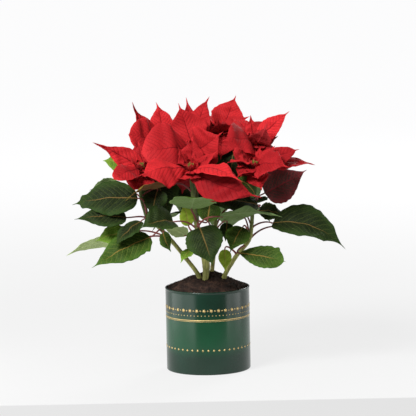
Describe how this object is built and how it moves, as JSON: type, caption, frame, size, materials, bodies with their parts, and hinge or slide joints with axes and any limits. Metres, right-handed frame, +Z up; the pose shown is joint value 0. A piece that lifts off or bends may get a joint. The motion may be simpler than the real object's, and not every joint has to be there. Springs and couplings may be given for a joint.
{
  "type": "potted poinsettia",
  "caption": "Flowering house plant with pointed red bracts over broad green leaves, on forked stems in a mound of soil in a straight round metal pot.",
  "frame": {"origin": "centre of the pot's flat underside", "axes": "+Z up along the pot's axis, +X to the viewer's right and +Y to the back, away from the viewer, with the plant's fullest face at -Y"},
  "size_m": [0.4014, 0.3167, 0.3874],
  "materials": {
    "pot": "glossy dark green lacquer with a thin gold ornament",
    "soil": "dark crumbly peat, matt",
    "stem": "olive green to brown, slightly woody",
    "leaf": "dark green leaf with light veins and a paler underside",
    "dark_leaf": "dark maroon leaf with red veins",
    "bract": "bright red velvety bract with fine veins",
    "buds": "yellow-green flower buds with red tips"
  },
  "bodies": {
    "root": {"pot": "pot", "soil": "soil", "leaf_left_1": "leaf", "leaf_left_2": "leaf", "leaf_left_3": "leaf", "leaf_left_4": "leaf", "leaf_left_5": "leaf", "leaf_left_6": "leaf", "leaf_left_7": "leaf", "leaf_left_8": "leaf", "leaf_left_9": "leaf", "leaf_left_10": "leaf", "leaf_front_1": "leaf", "leaf_front_2": "leaf", "leaf_front_3": "leaf", "leaf_front_4": "leaf", "leaf_front_5": "leaf", "leaf_front_6": "leaf", "leaf_front_7": "leaf", "leaf_front_8": "leaf", "leaf_front_9": "leaf", "leaf_right_1": "leaf", "leaf_right_2": "leaf", "leaf_right_3": "leaf", "leaf_right_4": "leaf", "leaf_right_5": "leaf", "leaf_right_6": "leaf", "leaf_right_7": "leaf", "leaf_right_8": "leaf", "leaf_right_9": "dark_leaf", "leaf_right_10": "leaf", "leaf_left_11": "leaf", "leaf_back_2": "leaf", "leaf_back_3": "leaf", "leaf_right_11": "leaf", "leaf_back_1": "leaf", "stem_left": "stem", "stem_front": "stem", "stem_back": "stem", "stem_right": "stem", "bloom_front": "bract", "buds_front": "buds", "bloom_left": "bract", "buds_left": "buds", "bloom_middle": "bract", "buds_middle": "buds", "bloom_right_high": "bract", "buds_right_high": "buds", "bloom_right_low": "bract", "buds_right_low": "buds", "bloom_back_left": "bract", "buds_back_left": "buds", "bloom_back_middle": "bract", "buds_back_middle": "buds", "bloom_back": "bract", "buds_back": "buds"}
  },
  "joints": []
}
